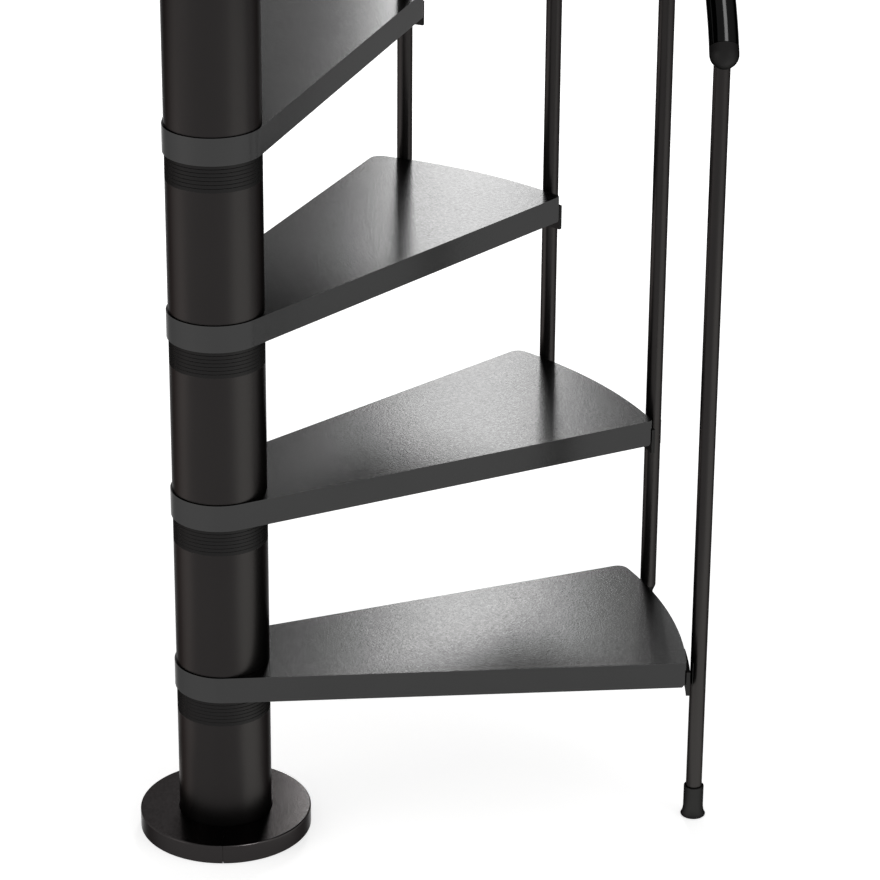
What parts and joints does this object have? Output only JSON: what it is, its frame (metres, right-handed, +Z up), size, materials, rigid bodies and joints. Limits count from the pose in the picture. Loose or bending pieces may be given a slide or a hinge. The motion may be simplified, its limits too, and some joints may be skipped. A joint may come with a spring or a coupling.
{
  "type": "spiral staircase",
  "caption": "Spiral stair: wedge-shaped steel treads threaded on a round central column, a baluster at each tread, a helical handrail and a square landing.",
  "frame": {"origin": "on the column's axis, at the underside of the base plate, floor level", "axes": "+Z up along the column; the landing's two outer sides face -X and -Y, and seen from above the stair climbs anticlockwise"},
  "size_m": [1.0432, 1.1699, 2.4392],
  "materials": {
    "black_steel": "satin black powder coat",
    "grey_steel": "fine-textured dark grey powder coat",
    "black_plastic": "satin",
    "rail_plastic": "satin black"
  },
  "bodies": {
    "root": {"base_plate": "black_steel", "base_cover_left": "black_steel", "base_cover_right": "black_steel", "column_tubes": "black_steel", "column_spacers": "black_plastic", "column_cap": "black_plastic", "tread_01": "grey_steel", "tread_02": "grey_steel", "tread_03": "grey_steel", "tread_04": "grey_steel", "tread_05": "grey_steel", "tread_06": "grey_steel", "landing": "grey_steel", "baluster_01": "black_steel", "baluster_02": "black_steel", "baluster_03": "black_steel", "baluster_04": "black_steel", "baluster_05": "black_steel", "baluster_06": "black_steel", "baluster_07": "black_steel", "front_clips": "black_plastic", "rear_clips": "black_plastic", "foot_ferrule": "black_plastic", "handrail": "rail_plastic", "rail_caps": "rail_plastic"}
  },
  "joints": []
}
